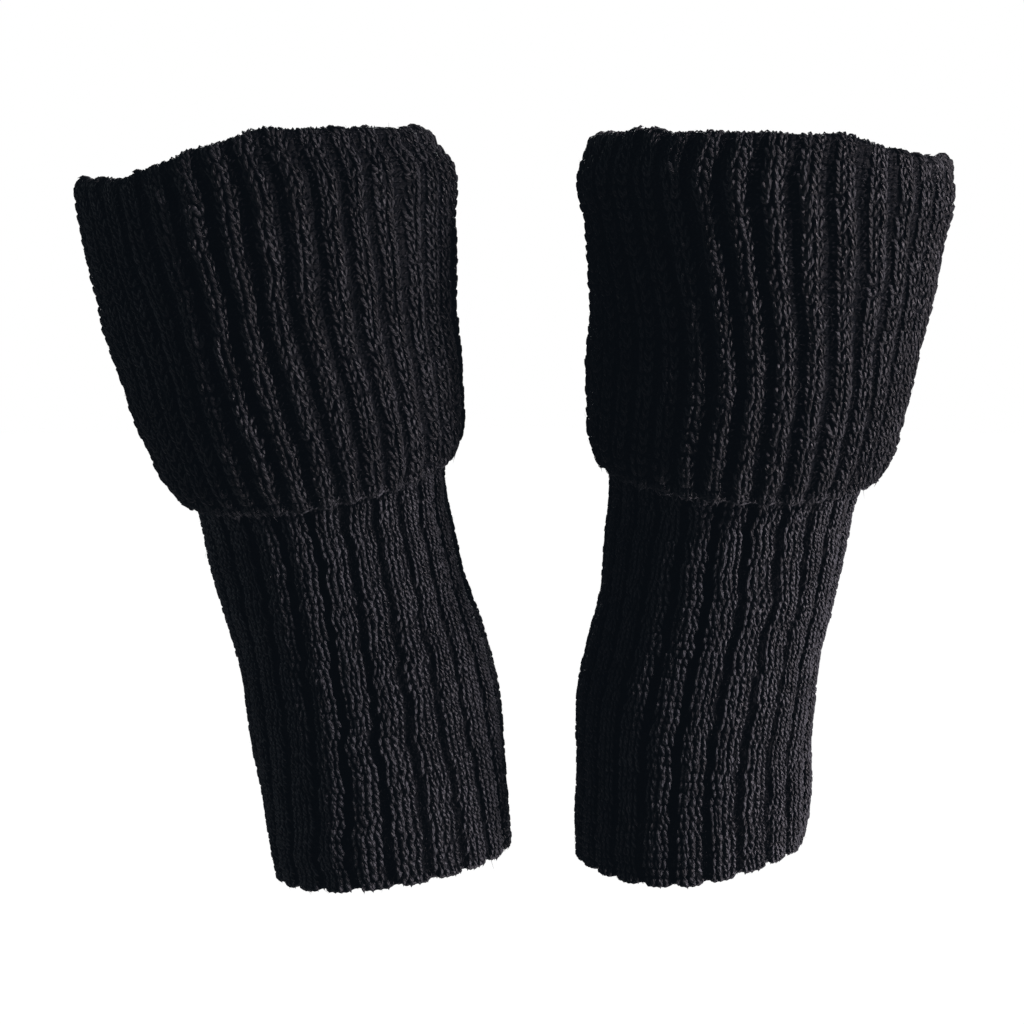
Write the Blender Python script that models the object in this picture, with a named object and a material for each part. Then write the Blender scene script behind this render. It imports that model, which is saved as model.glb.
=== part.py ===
"""A pair of ribbed knit leg warmers, filled out as they are when worn.

Each warmer is one knitted tube: a leg part in wide ribs, and above it a top part in narrow ribs that is
turned down over the leg as a deep cuff.  The tube is open at both ends.  Left and right are as seen
from the front, which faces -Y.  The origin lies midway between the two calves that hold the pair up,
at half the height of the cuffs.

Every warmer is worked out upright in a frame of its own, from the fold at its top downwards: rings lie
across the tube, `down` millimetres below the fold.  An empty then leans the tube and sets it in place.
"""

import math
from collections import namedtuple

import bmesh
import bpy
import numpy as np

MM = 0.001

# The cloth, in millimetres.  Ribs are raised in the outer face, and the inner face is plain.
CLOTH = 1.5
CUFF_RIB_RISE = 2.0
LEG_RIB_RISE = 2.3
SEAM_GAP = 0.4  # between the leg's top edge and the turned piece
EDGE_SCALLOP = 0.7  # how far a rib's end reaches past the mean edge, and a furrow's end falls short

# The fold at the top: half its width across both layers, and how far below the crest it is widest.
FOLD_HALF_WIDTH = 4.75
FOLD_HEIGHT = 7.0
FOLD_ANGLES = (45.0, 90.0, 135.0)  # degrees from outward, over the crest, to inward
FOLD_RIB_SHARE = (1.0, 1.0, 0.5)  # the ribs fade out on the way in
RETURN_DEPTH = 16.0  # how far the turned piece reaches back down inside, to its join with the leg

CUFF_WALL = CLOTH + CUFF_RIB_RISE
LEG_WALL = CLOTH + LEG_RIB_RISE
LEG_INSET = 2 * FOLD_HALF_WIDTH - LEG_WALL  # from the cuff's outer face in to the leg's, under the cuff

# Ribs round the tube, and where a rib's four points lie, in shares of the rib pitch from its middle.
Rib = namedtuple("Rib", "count foot crown")
CUFF_RIB = Rib(count=36, foot=0.36, crown=0.20)
LEG_RIB = Rib(count=24, foot=0.41, crown=0.28)
CUFF_LINING_POINTS = 36
LEG_LINING_POINTS = 24

# Line: how the tube's middle runs.  shift is sideways, dip is how far the front of a ring lies below its
# middle, and slant is how far its +X side lies above it.
Line = namedtuple("Line", "down shift dip slant")
# Section: outer width over the ribs, how far the ribs have turned round the front (degrees), and how much
# wider apart they stand at the front than on average.
Section = namedtuple("Section", "down across turn spread")

DEPTH_SHARE = 1.06  # front to back against side to side, as on a calf

LEFT_LINE = (
    Line(0, -1.4, 0.0, 1.2),
    Line(7, -0.6, 0.0, 1.2),
    Line(17, 1.9, 0.0, 0.8),
    Line(34, 0.8, 1.0, 0.0),
    Line(52, -0.4, 2.0, 0.0),
    Line(88, 0.0, 6.0, -0.4),
    Line(121, 1.6, 9.5, -1.0),
    Line(146, 1.7, 6.0, -0.4),
    Line(171, 3.4, 3.0, 0.0),
    Line(190, 6.2, 1.0, 0.0),
    Line(208, 6.8, 0.0, 0.0),
    Line(242, 5.8, 0.0, 0.0),
    Line(264, 4.4, -2.0, -1.0),
    Line(276.4, 4.0, -3.0, -1.8),
)
LEFT_CUFF = (
    Section(7, 136.8, -5.0, -0.04),
    Section(17, 141.9, -4.9, -0.04),
    Section(34, 138.8, -4.4, -0.04),
    Section(52, 135.8, -2.7, -0.06),
    Section(70, 130.0, -2.8, -0.05),
    Section(88, 126.8, -2.4, -0.04),
    Section(102, 121.4, -1.4, -0.03),
    Section(113, 116.4, -1.5, -0.03),
    Section(121, 107.6, -1.5, -0.03),
)
LEFT_LEG = (
    Section(113, 104.2, 7.2, -0.04),
    Section(121, 98.4, 7.2, -0.04),
    Section(132, 95.0, 7.2, -0.04),
    Section(151, 94.8, 7.2, -0.05),
    Section(171, 93.8, 5.4, -0.03),
    Section(190, 95.2, 0.9, -0.01),
    Section(216, 98.4, -1.5, -0.02),
    Section(242, 96.0, -3.3, 0.10),
    Section(264, 94.8, -4.3, 0.18),
    Section(276.4, 93.2, -4.5, 0.20),
)

RIGHT_LINE = (
    Line(0, 0.6, 0.0, 1.3),
    Line(7, -0.4, 0.0, 1.3),
    Line(16, -0.8, 0.0, 2.0),
    Line(33, 0.9, 1.0, 2.5),
    Line(50, 2.3, 2.5, 2.5),
    Line(85, 1.6, 7.0, 3.3),
    Line(119, 1.6, 10.5, 4.2),
    Line(145, 0.6, 6.0, 3.8),
    Line(171, -0.2, 3.0, 3.5),
    Line(197, -3.4, 1.0, 3.5),
    Line(221, -3.3, 0.0, 4.0),
    Line(247, -0.4, 0.0, 6.3),
    Line(272.5, 0.6, -0.5, 8.6),
)
RIGHT_CUFF = (
    Section(7, 137.0, -5.0, 0.02),
    Section(16, 140.8, -5.0, 0.03),
    Section(33, 134.4, -3.2, 0.05),
    Section(50, 131.2, -0.8, 0.0),
    Section(68, 125.4, 3.0, -0.02),
    Section(85, 123.6, 5.9, -0.02),
    Section(100, 119.8, 5.6, 0.0),
    Section(111, 116.4, 5.3, 0.02),
    Section(119, 109.0, 5.3, 0.02),
)
RIGHT_LEG = (
    Section(111, 103.6, -5.4, -0.04),
    Section(119, 98.6, -5.4, -0.04),
    Section(130, 94.4, -5.1, -0.04),
    Section(149, 92.5, -4.6, 0.0),
    Section(171, 89.7, -4.1, 0.05),
    Section(189, 89.8, -3.0, 0.03),
    Section(209, 91.8, -3.4, 0.04),
    Section(233, 91.0, -6.6, 0.02),
    Section(259, 90.6, -6.2, 0.06),
    Section(272.5, 87.6, -4.0, 0.10),
)

# Wave: how the rim at `down` rises and falls round the tube.  height is that of its crests, at is where one
# of them stands (degrees round from the front), and reach is how far along the tube it is still felt.
Wave = namedtuple("Wave", "down lobes height at reach")
LEFT_WAVES = (
    Wave(0, 2, 1.5, -37.5, 10.0),
    Wave(0, 3, 3.1, 30.0, 10.0),
    Wave(0, 4, 2.2, 5.0, 10.0),
    Wave(0, 5, 0.9, 0.0, 10.0),
)
RIGHT_WAVES = (
    Wave(0, 2, 1.4, 78.0, 10.0),
    Wave(0, 3, 1.3, 2.0, 10.0),
    Wave(0, 4, 1.5, -14.0, 10.0),
    Wave(0, 5, 2.0, 17.0, 10.0),
    Wave(272.5, 3, -1.3, -13.0, 8.0),
)

# Where each fold's middle lies, and how far the tube leans: positive with its top towards +X.
Warmer = namedtuple("Warmer", "side fold_x fold_z lean line waves cuff leg")
WARMERS = (
    Warmer("left", -96.4, 53.6, -9.6, LEFT_LINE, LEFT_WAVES, LEFT_CUFF, LEFT_LEG),
    Warmer("right", 97.4, 56.8, 6.0, RIGHT_LINE, RIGHT_WAVES, RIGHT_CUFF, RIGHT_LEG),
)

YARN_COLOUR = (0.012, 0.0125, 0.014, 1.0)
YARN_ROUGHNESS = 0.9
SMOOTH_ANGLE = math.radians(40)


def clear_scene():
    for found in list(bpy.data.objects):
        bpy.data.objects.remove(found, do_unlink=True)


def read(rows, column, down):
    """A column's value at a height: a smooth curve through the rows, straight on past both ends."""
    at = np.array([row.down for row in rows], float)
    value = np.array([getattr(row, column) for row in rows], float)
    slope = np.gradient(value, at)
    i = int(np.clip(np.searchsorted(at, down) - 1, 0, len(at) - 2))
    span = at[i + 1] - at[i]
    t = (down - at[i]) / span
    if t < 0:
        return value[0] + slope[0] * (down - at[0])
    if t > 1:
        return value[-1] + slope[-1] * (down - at[-1])
    first = value[i] * (1 + 2 * t) * (1 - t) ** 2 + slope[i] * span * t * (1 - t) ** 2
    last = value[i + 1] * t * t * (3 - 2 * t) + slope[i + 1] * span * t * t * (t - 1)
    return first + last


def rib_angles(rib):
    """The even angle of each rib point, four to a rib, and whether it is up on the rib."""
    pitch = 2 * math.pi / rib.count
    steps = ((-rib.foot, 0.0), (-rib.crown, 1.0), (rib.crown, 1.0), (rib.foot, 0.0))
    angles = [(k + step) * pitch for k in range(rib.count) for step, up in steps]
    raised = [up for k in range(rib.count) for step, up in steps]
    return np.array(angles), np.array(raised)


def even_angles(count):
    return np.arange(count) * 2 * math.pi / count


def turned(even, turn, spread):
    """Where an even angle, 0 at the front, ends up round the tube: the front turns most, the back not at all."""
    return even + spread * np.sin(even) + math.radians(turn) * (0.5 + 0.5 * np.cos(even))


def ring(warmer, down, across, angle, inset):
    """Points round the tube at a height, `inset` inside its outer width."""
    half_width = across / 2 - inset
    half_depth = across / 2 * DEPTH_SHARE - inset
    x = read(warmer.line, "shift", down) + half_width * np.sin(angle)
    y = -half_depth * np.cos(angle)
    slant = read(warmer.line, "slant", down) * np.sin(angle)
    dip = read(warmer.line, "dip", down) * np.cos(angle)
    z = slant - dip - down
    for wave in warmer.waves:
        felt = math.exp(-(((down - wave.down) / wave.reach) ** 2))
        z += felt * wave.height * np.cos(wave.lobes * (angle - math.radians(wave.at)))
    return np.stack([x, y, z], axis=1) * MM


def add_ring(mesh, points):
    return [mesh.verts.new(point) for point in points]


def band(mesh, upper, lower):
    """Faces between two rings, seen from outside, the first above the second.  One ring may have a whole
    number of points for each one of the other; the angles of both start at the same rib."""
    count = min(len(upper), len(lower))
    high = len(upper) // count
    low = len(lower) // count
    for k in range(count):
        top = [upper[(k * high + n) % len(upper)] for n in range(high + 1)]
        bottom = [lower[(k * low + n) % len(lower)] for n in range(low + 1)]
        if high == low == 1:
            mesh.faces.new((top[0], bottom[0], bottom[1], top[1]))
            continue
        fan, pivot, flip = (bottom, top, False) if low > high else (top, bottom, True)
        middle = len(fan) // 2
        for n in range(len(fan) - 1):
            tip = pivot[0] if n < middle else pivot[1]
            face = (tip, fan[n + 1], fan[n]) if flip else (tip, fan[n], fan[n + 1])
            mesh.faces.new(face)
        split = (pivot[0], pivot[1], fan[middle]) if flip else (pivot[0], fan[middle], pivot[1])
        mesh.faces.new(split)


def yarn(name):
    material = bpy.data.materials.new(name + "_yarn")
    material.use_nodes = True
    shader = material.node_tree.nodes["Principled BSDF"]
    shader.inputs["Base Color"].default_value = YARN_COLOUR
    shader.inputs["Roughness"].default_value = YARN_ROUGHNESS
    shader.inputs["Metallic"].default_value = 0.0
    material.diffuse_color = YARN_COLOUR
    return material


def finish(mesh, name, frame):
    """The closed skin of rings as a named object that hangs on its warmer's frame."""
    data = bpy.data.meshes.new(name)
    mesh.to_mesh(data)
    mesh.free()
    data.shade_smooth()
    data.set_sharp_from_angle(angle=SMOOTH_ANGLE)
    data.materials.append(yarn(name))
    piece = bpy.data.objects.new(name, data)
    piece.parent = frame
    bpy.context.collection.objects.link(piece)
    return piece


def rib_ring(warmer, sections, rib, rise, down, scallop):
    """An outer ring whose points step up onto each rib and down into each furrow."""
    even, raised = rib_angles(rib)
    angle = turned(even, read(sections, "turn", down), read(sections, "spread", down))
    points = ring(warmer, down, read(sections, "across", down), angle, rise * (1 - raised))
    points[:, 2] -= scallop * MM * (2 * raised - 1)
    return points


def lining_ring(warmer, sections, count, inset, down):
    """A plain ring, `inset` inside the tube's outer width."""
    angle = turned(even_angles(count), read(sections, "turn", down), read(sections, "spread", down))
    return ring(warmer, down, read(sections, "across", down), angle, inset)


def leg_tube(warmer, frame):
    """The leg: ribbed outer face from its join under the fold to the hem, and a plain inner face."""
    hem = warmer.leg[-1].down
    hidden = [RETURN_DEPTH + SEAM_GAP] + [section.down for section in warmer.cuff[2:-2:2]]
    covered = [
        Section(down, read(warmer.cuff, "across", down) - 2 * LEG_INSET, warmer.leg[0].turn, 0.0)
        for down in hidden
    ]
    sections = covered + list(warmer.leg)
    mesh = bmesh.new()
    outer = []
    inner = []
    for section in sections:
        scallop = EDGE_SCALLOP if section.down == hem else 0.0
        points = rib_ring(warmer, sections, LEG_RIB, LEG_RIB_RISE, section.down, scallop)
        outer.append(add_ring(mesh, points))
        points = lining_ring(warmer, sections, LEG_LINING_POINTS, LEG_WALL, section.down)
        inner.append(add_ring(mesh, points))
    rings = outer + inner[::-1]
    for upper, lower in zip(rings, rings[1:] + rings[:1]):
        band(mesh, upper, lower)
    return finish(mesh, f"{warmer.side}_leg_tube", frame)


def turned_cuff(warmer, frame):
    """The top of the tube turned down: a ribbed outer face, over the fold, and a short plain return."""
    mesh = bmesh.new()
    edge = warmer.cuff[-1].down
    even, raised = rib_angles(CUFF_RIB)
    widest = warmer.cuff[0]
    rings = []
    # down inside, from the crest of the fold to the outer edge, then back up: one closed loop of rings
    for angle, share in zip(FOLD_ANGLES[::-1], FOLD_RIB_SHARE[::-1]):
        out = math.cos(math.radians(angle))
        up = math.sin(math.radians(angle))
        furrow = CUFF_RIB_RISE * share * (1 - raised)
        reach = FOLD_HALF_WIDTH - furrow
        place = turned(even, widest.turn, widest.spread)
        inset = FOLD_HALF_WIDTH - reach * out
        points = ring(warmer, FOLD_HEIGHT, widest.across, place, inset)
        points[:, 2] += (FOLD_HEIGHT - furrow) * up * MM
        rings.append(add_ring(mesh, points))
    for section in warmer.cuff:
        scallop = EDGE_SCALLOP if section.down == edge else 0.0
        points = rib_ring(warmer, warmer.cuff, CUFF_RIB, CUFF_RIB_RISE, section.down, scallop)
        rings.append(add_ring(mesh, points))
    for section in reversed(warmer.cuff[:2] + warmer.cuff[2::2]):
        points = lining_ring(warmer, warmer.cuff, CUFF_LINING_POINTS, CUFF_WALL, section.down)
        rings.append(add_ring(mesh, points))
    under_fold = FOLD_HALF_WIDTH - CUFF_WALL
    for angle in (60.0, 120.0):
        out = math.cos(math.radians(angle))
        up = math.sin(math.radians(angle))
        place = turned(even_angles(CUFF_LINING_POINTS), widest.turn, widest.spread)
        inset = FOLD_HALF_WIDTH - under_fold * out
        points = ring(warmer, FOLD_HEIGHT, widest.across, place, inset)
        points[:, 2] += (FOLD_HEIGHT - CUFF_WALL) * up * MM
        rings.append(add_ring(mesh, points))
    for inset, down in (
        (LEG_INSET, FOLD_HEIGHT),
        (LEG_INSET, RETURN_DEPTH),
        (2 * FOLD_HALF_WIDTH, RETURN_DEPTH),
        (2 * FOLD_HALF_WIDTH, FOLD_HEIGHT),
    ):
        points = lining_ring(warmer, warmer.cuff, CUFF_LINING_POINTS, inset, down)
        rings.append(add_ring(mesh, points))
    for upper, lower in zip(rings, rings[1:] + rings[:1]):
        band(mesh, upper, lower)
    return finish(mesh, f"{warmer.side}_turned_cuff", frame)


def warmer_frame(warmer):
    """The empty at the middle of the fold that leans a warmer and sets it in place."""
    frame = bpy.data.objects.new(f"{warmer.side}_warmer", None)
    frame.location = (warmer.fold_x * MM, 0.0, warmer.fold_z * MM)
    frame.rotation_euler = (0.0, math.radians(warmer.lean), 0.0)
    bpy.context.collection.objects.link(frame)
    return frame


def main():
    clear_scene()
    for warmer in WARMERS:
        frame = warmer_frame(warmer)
        leg_tube(warmer, frame)
        turned_cuff(warmer, frame)


main()
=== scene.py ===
# %% [markdown]
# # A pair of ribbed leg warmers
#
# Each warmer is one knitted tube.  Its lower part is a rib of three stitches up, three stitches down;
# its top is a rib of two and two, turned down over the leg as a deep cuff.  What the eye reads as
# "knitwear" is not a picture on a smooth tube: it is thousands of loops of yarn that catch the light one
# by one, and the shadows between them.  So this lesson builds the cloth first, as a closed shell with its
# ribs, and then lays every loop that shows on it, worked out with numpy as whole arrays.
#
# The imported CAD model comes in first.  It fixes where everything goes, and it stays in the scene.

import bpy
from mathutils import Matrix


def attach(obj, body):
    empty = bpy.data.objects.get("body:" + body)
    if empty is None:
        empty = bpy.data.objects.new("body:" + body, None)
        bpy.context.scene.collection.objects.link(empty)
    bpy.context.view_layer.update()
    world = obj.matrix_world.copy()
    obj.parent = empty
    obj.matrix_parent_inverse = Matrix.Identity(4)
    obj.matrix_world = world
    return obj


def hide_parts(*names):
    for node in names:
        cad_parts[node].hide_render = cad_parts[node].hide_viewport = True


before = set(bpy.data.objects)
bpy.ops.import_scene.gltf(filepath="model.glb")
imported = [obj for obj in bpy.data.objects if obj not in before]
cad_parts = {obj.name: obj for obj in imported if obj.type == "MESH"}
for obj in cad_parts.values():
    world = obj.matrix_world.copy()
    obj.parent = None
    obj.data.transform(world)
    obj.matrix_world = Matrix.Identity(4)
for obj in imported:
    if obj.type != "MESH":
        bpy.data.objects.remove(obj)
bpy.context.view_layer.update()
print("CAD nodes:", ", ".join(sorted(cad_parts)))

# %% [markdown]
# ## Tools and units
#
# numpy works out each surface as whole arrays, and bpy hands them to Blender.  The sizes below are in
# millimetres, as a knitter gives them, and Blender counts in metres, so MM stands between the two.

# %% What the lesson uses
import math
from collections import namedtuple

import bpy
import numpy as np

MM = 0.001
TURN = 2 * math.pi
print("Blender", bpy.app.version_string, "and numpy", np.__version__)

# %% [markdown]
# ## The sizes of the tubes
#
# A knitter thinks of a tube as rounds, one below the other.  The tables below do the same: each row tells
# how wide the tube is at one height, how far its ribs have turned round the leg, and how its middle has
# wandered.  They are the sizes that the CAD model is made from, in millimetres below the fold at the top,
# so the cloth made here lies where the CAD says.

# %% Cloth sizes and tables, in millimetres and degrees
CLOTH = 1.5  # its thickness in a furrow
CUFF_RIB_RISE = 2.0  # of a rib over a furrow
LEG_RIB_RISE = 2.3
CUFF_WALL = CLOTH + CUFF_RIB_RISE
LEG_WALL = CLOTH + LEG_RIB_RISE
LINING_RIB_RISE = 0.5  # of the low ribs on the inner face, which the solids leave plain
FOLD_HALF_WIDTH = 4.75  # from under the crest out to the cuff's side
FOLD_HEIGHT = 7.0  # from there up to the crest
RETURN_DEPTH = 16.0  # from the crest down to the join inside
SEAM_GAP = 0.4  # between cuff and leg at the join
LEG_INSET = 2 * FOLD_HALF_WIDTH - LEG_WALL
DEPTH_SHARE = 1.06  # front to back over side to side

# How many ribs go round, where a rib's foot and the edge of its crown lie, in shares of the pitch from its
# middle, and how much of its height the crown's own roundness takes.
Rib = namedtuple("Rib", "count foot crown dome")
CUFF_RIB = Rib(count=36, foot=0.42, crown=0.10, dome=0.55)
LEG_RIB = Rib(count=24, foot=0.43, crown=0.29, dome=0.35)

# A Line says, at a height, how far the middle lies to the right, how far the front dips and how far the
# right side rises.  A Section has the width, the turn of the front ribs and how far the ribs are spread to
# the sides.  A Wave lifts the rim in some lobes, one of them at the angle `at`, and fades with height.
Line = namedtuple("Line", "down shift dip slant")
Section = namedtuple("Section", "down across turn spread")
Wave = namedtuple("Wave", "down lobes height at reach")
Warmer = namedtuple("Warmer", "side fold_x fold_z lean line waves cuff leg seed")


def table(kind, *rows):
    """Rows of numbers as rows with names."""
    return tuple(kind(*row) for row in rows)


LEFT_LINE = table(
    Line,
    (0, -1.4, 0, 1.2),
    (7, -0.6, 0, 1.2),
    (17, 1.9, 0, 0.8),
    (34, 0.8, 1, 0),
    (52, -0.4, 2, 0),
    (88, 0, 6, -0.4),
    (121, 1.6, 9.5, -1),
    (146, 1.7, 6, -0.4),
    (171, 3.4, 3, 0),
    (190, 6.2, 1, 0),
    (208, 6.8, 0, 0),
    (242, 5.8, 0, 0),
    (264, 4.4, -2, -1),
    (276.4, 4, -3, -1.8),
)
LEFT_CUFF = table(
    Section,
    (7, 136.8, -5, -0.04),
    (17, 141.9, -4.9, -0.04),
    (34, 138.8, -4.4, -0.04),
    (52, 135.8, -2.7, -0.06),
    (70, 130, -2.8, -0.05),
    (88, 126.8, -2.4, -0.04),
    (102, 121.4, -1.4, -0.03),
    (113, 116.4, -1.5, -0.03),
    (121, 107.6, -1.5, -0.03),
)
LEFT_LEG = table(
    Section,
    (113, 104.2, 7.2, -0.04),
    (121, 98.4, 7.2, -0.04),
    (132, 95, 7.2, -0.04),
    (151, 94.8, 7.2, -0.05),
    (171, 93.8, 5.4, -0.03),
    (190, 95.2, 0.9, -0.01),
    (216, 98.4, -1.5, -0.02),
    (242, 96, -3.3, 0.1),
    (264, 94.8, -4.3, 0.18),
    (276.4, 93.2, -4.5, 0.2),
)
RIGHT_LINE = table(
    Line,
    (0, 0.6, 0, 1.3),
    (7, -0.4, 0, 1.3),
    (16, -0.8, 0, 2),
    (33, 0.9, 1, 2.5),
    (50, 2.3, 2.5, 2.5),
    (85, 1.6, 7, 3.3),
    (119, 1.6, 10.5, 4.2),
    (145, 0.6, 6, 3.8),
    (171, -0.2, 3, 3.5),
    (197, -3.4, 1, 3.5),
    (221, -3.3, 0, 4),
    (247, -0.4, 0, 6.3),
    (272.5, 0.6, -0.5, 8.6),
)
RIGHT_CUFF = table(
    Section,
    (7, 137, -5, 0.02),
    (16, 140.8, -5, 0.03),
    (33, 134.4, -3.2, 0.05),
    (50, 131.2, -0.8, 0),
    (68, 125.4, 3, -0.02),
    (85, 123.6, 5.9, -0.02),
    (100, 119.8, 5.6, 0),
    (111, 116.4, 5.3, 0.02),
    (119, 109, 5.3, 0.02),
)
RIGHT_LEG = table(
    Section,
    (111, 103.6, -5.4, -0.04),
    (119, 98.6, -5.4, -0.04),
    (130, 94.4, -5.1, -0.04),
    (149, 92.5, -4.6, 0),
    (171, 89.7, -4.1, 0.05),
    (189, 89.8, -3, 0.03),
    (209, 91.8, -3.4, 0.04),
    (233, 91, -6.6, 0.02),
    (259, 90.6, -6.2, 0.06),
    (272.5, 87.6, -4, 0.1),
)
LEFT_WAVES = table(
    Wave,
    (0, 2, 1.5, -37.5, 10),
    (0, 3, 3.1, 30, 10),
    (0, 4, 2.2, 5, 10),
    (0, 5, 0.9, 0, 10),
)
RIGHT_WAVES = table(
    Wave,
    (0, 2, 1.4, 78, 10),
    (0, 3, 1.3, 2, 10),
    (0, 4, 1.5, -14, 10),
    (0, 5, 2, 17, 10),
    (272.5, 3, -1.3, -13, 8),
)
WARMERS = (
    Warmer("left", -96.4, 53.6, -9.6, LEFT_LINE, LEFT_WAVES, LEFT_CUFF, LEFT_LEG, 11),
    Warmer("right", 97.4, 56.8, 6.0, RIGHT_LINE, RIGHT_WAVES, RIGHT_CUFF, RIGHT_LEG, 23),
)
for warmer in WARMERS:
    print(warmer.side, "warmer, mm below the fold: hem", warmer.leg[-1].down, "cuff", warmer.cuff[-1].down)

# %% [markdown]
# ## From a height and an angle to a point
#
# Everything below asks the same question: where is the cloth, this far below the fold and this far round
# the leg?  Two small functions answer it.  The first reads a table between its rows, as a smooth curve.
# The second wraps the answer round the leg and leans it.  Both take whole arrays, so a surface of fifty
# thousand points is one call.

# %% Read a table, and wrap a point round a leg
def read(rows, column, down):
    """A table's column at any height: a cubic between two rows, whose slopes there come from the rows'
    neighbours, and a straight line on past either end."""
    at = np.array([row.down for row in rows], float)
    value = np.array([getattr(row, column) for row in rows], float)
    slope = np.gradient(value, at)
    within = np.clip(down, at[0], at[-1])
    i = np.clip(np.searchsorted(at, within) - 1, 0, len(at) - 2)
    span = at[i + 1] - at[i]
    t = (within - at[i]) / span
    near = value[i] * (1 + 2 * t) * (1 - t) ** 2 + slope[i] * span * t * (1 - t) ** 2
    far = value[i + 1] * t * t * (3 - 2 * t) + slope[i + 1] * span * t * t * (t - 1)
    past = np.minimum(down - at[0], 0) * slope[0] + np.maximum(down - at[-1], 0) * slope[-1]
    return near + far + past


def on_leg(warmer, rows, down, even, inset, up=0.0):
    """Points in metres.  The even angle turns into the true one: even + spread sin(even) + turn (1 +
    cos(even)) / 2.  Round that angle lies an ellipse, half a width by half a width times DEPTH_SHARE, both
    less the inset.  It is `down` below the fold, its front dips, its side slants, and the waves of the rim
    fade with height as exp(-(down / reach)^2).  Last, the whole leg leans about the fold's middle."""
    turn = np.radians(read(rows, "turn", down)) * (0.5 + 0.5 * np.cos(even))
    angle = even + read(rows, "spread", down) * np.sin(even) + turn
    half = read(rows, "across", down) / 2
    x = read(warmer.line, "shift", down) + (half - inset) * np.sin(angle)
    y = -(half * DEPTH_SHARE - inset) * np.cos(angle)
    z = read(warmer.line, "slant", down) * np.sin(angle) - read(warmer.line, "dip", down) * np.cos(angle)
    z = z - down + up
    for wave in warmer.waves:
        felt = np.exp(-(((down - wave.down) / wave.reach) ** 2))
        z = z + felt * wave.height * np.cos(wave.lobes * (angle - math.radians(wave.at)))
    lean = math.radians(warmer.lean)
    world_x = warmer.fold_x + math.cos(lean) * x + math.sin(lean) * z
    world_z = warmer.fold_z - math.sin(lean) * x + math.cos(lean) * z
    return np.stack(np.broadcast_arrays(world_x, y, world_z), axis=-1) * MM


middles = on_leg(WARMERS[0], LEFT_CUFF, np.array([17.0, 60.0]), np.array([0.0, 0.0]), 0.0)
print("two points down the left warmer's front:", middles.round(4).tolist())

# %% [markdown]
# ## Ribs
#
# In a rib knit some columns of stitches stand forward and their neighbours sink back, because knit and
# purl stitches curl opposite ways.  A rib here is a height between 0, the furrow, and 1, the crown, with a
# soft step on each flank.  No worn rib runs straight: it sways from side to side every few rows, has a kink
# where the cloth was squeezed, and dips in a crease.  All that is added to every surface alike, so the
# stitches later follow the same ribs as the cloth under them.

# %% Rib height, sway, kinks and creases
# A sway is a sine along the leg: its size, the length of one wave, its turns round the leg and its phase.
Sway = namedtuple("Sway", "size length turns phase")
LEG_SWAY = (
    (0.14, 6.7, -6, 0.8),
    (0.24, 9.5, 3, 0.4),
    (0.28, 12.5, -5, 2.1),
    (0.24, 17.0, 4, 5.0),
    (0.26, 23.0, -2, 1.0),
    (0.26, 37.0, 1, 4.0),
)
CUFF_SWAY = (
    (0.09, 7.5, 13, 2.0),
    (0.11, 11.0, -10, 1.0),
    (0.13, 19.0, 15, 3.0),
    (0.16, 43.0, -7, 5.2),
)

# A bell is a gentle local push: how many mm at its middle, at which height and angle, and how far it
# reaches along the leg and round it.  climb is how far it rises for each degree round.  As a crease it
# pushes the cloth in (out if negative), as a kink it pushes the ribs to the right (left if negative).
Bell = namedtuple("Bell", "size down at along around climb", defaults=[0.0])
LEG_KINKS = {"left": (
    (0.8, 149, 8, 6, 20),
    (-1.1, 165, 6, 4.5, 13),
    (-1.4, 179, 3, 6, 14),
    (-0.8, 195, 22, 6, 20),
    (0.5, 203, -12, 4, 12),
    (-0.8, 209, 8, 4, 14),
    (-1.2, 219, 8, 5, 22, 0.05),
    (-0.6, 239, 15, 6, 18),
    (-1.3, 256, -10, 9, 16),
    (-1.8, 195, 56, 120, 14),
), "right": (
    (-1.1, 133, 5, 13, 35),
    (1.7, 161, 24, 6, 16),
    (-1.6, 177, 34, 6, 18),
    (0.8, 193, 16, 5, 18),
    (-0.8, 213, 18, 5, 22),
    (0.5, 225, 22, 6, 16),
    (-0.9, 248, 22, 10, 35),
    (-1.8, 195, -36, 75, 20),
    (-0.8, 172, 46, 8, 9),
    (-2.4, 195, 54, 120, 12),
)}
CUFF_KINKS = {"left": (
    (-1.2, 28, -28, 16, 14),
    (-1.6, 34, 46, 18, 12),
    (-1.3, 66, 15, 14, 15),
    (-0.6, 70, -10, 8, 10),
    (0.6, 92, 24, 10, 12),
    (-0.9, 100, 50, 12, 10),
    (-1.6, 34, -38, 20, 12),
    (-1.1, 24, 45, 8, 9),
    (-1, 60, 48, 12, 9),
    (-0.7, 56, 22, 10, 13),
    (-1.1, 98, -26, 20, 10),
), "right": (
    (-0.8, 22, 2, 15, 18),
    (1, 20, 42, 12, 12),
    (-1.4, 54, -2, 15, 14),
    (1.2, 48, 36, 10, 12),
    (-0.9, 92, -6, 18, 12),
    (0.9, 92, 24, 20, 9),
    (0.9, 70, 48, 12, 9),
)}
LEG_CREASES = {"left": (
    (0.9, 152, -38, 7, 34, 0.1),
    (-0.6, 166, -30, 8, 30, 0.1),
    (0.8, 184, 42, 6, 30, -0.14),
    (0.6, 226, 10, 8, 40, 0.08),
    (0.8, 150, 150, 7, 36, -0.08),
    (0.9, 196, 205, 8, 34, 0.12),
    (0.6, 240, 165, 9, 30, 0.05),
), "right": (
    (0.8, 160, 34, 7, 32, -0.12),
    (-0.5, 172, 28, 8, 28, -0.1),
    (0.9, 192, -44, 7, 34, 0.12),
    (0.7, 238, 5, 8, 38, -0.06),
    (0.8, 158, 190, 7, 34, 0.1),
    (0.7, 206, 150, 8, 32, -0.1),
)}
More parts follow.
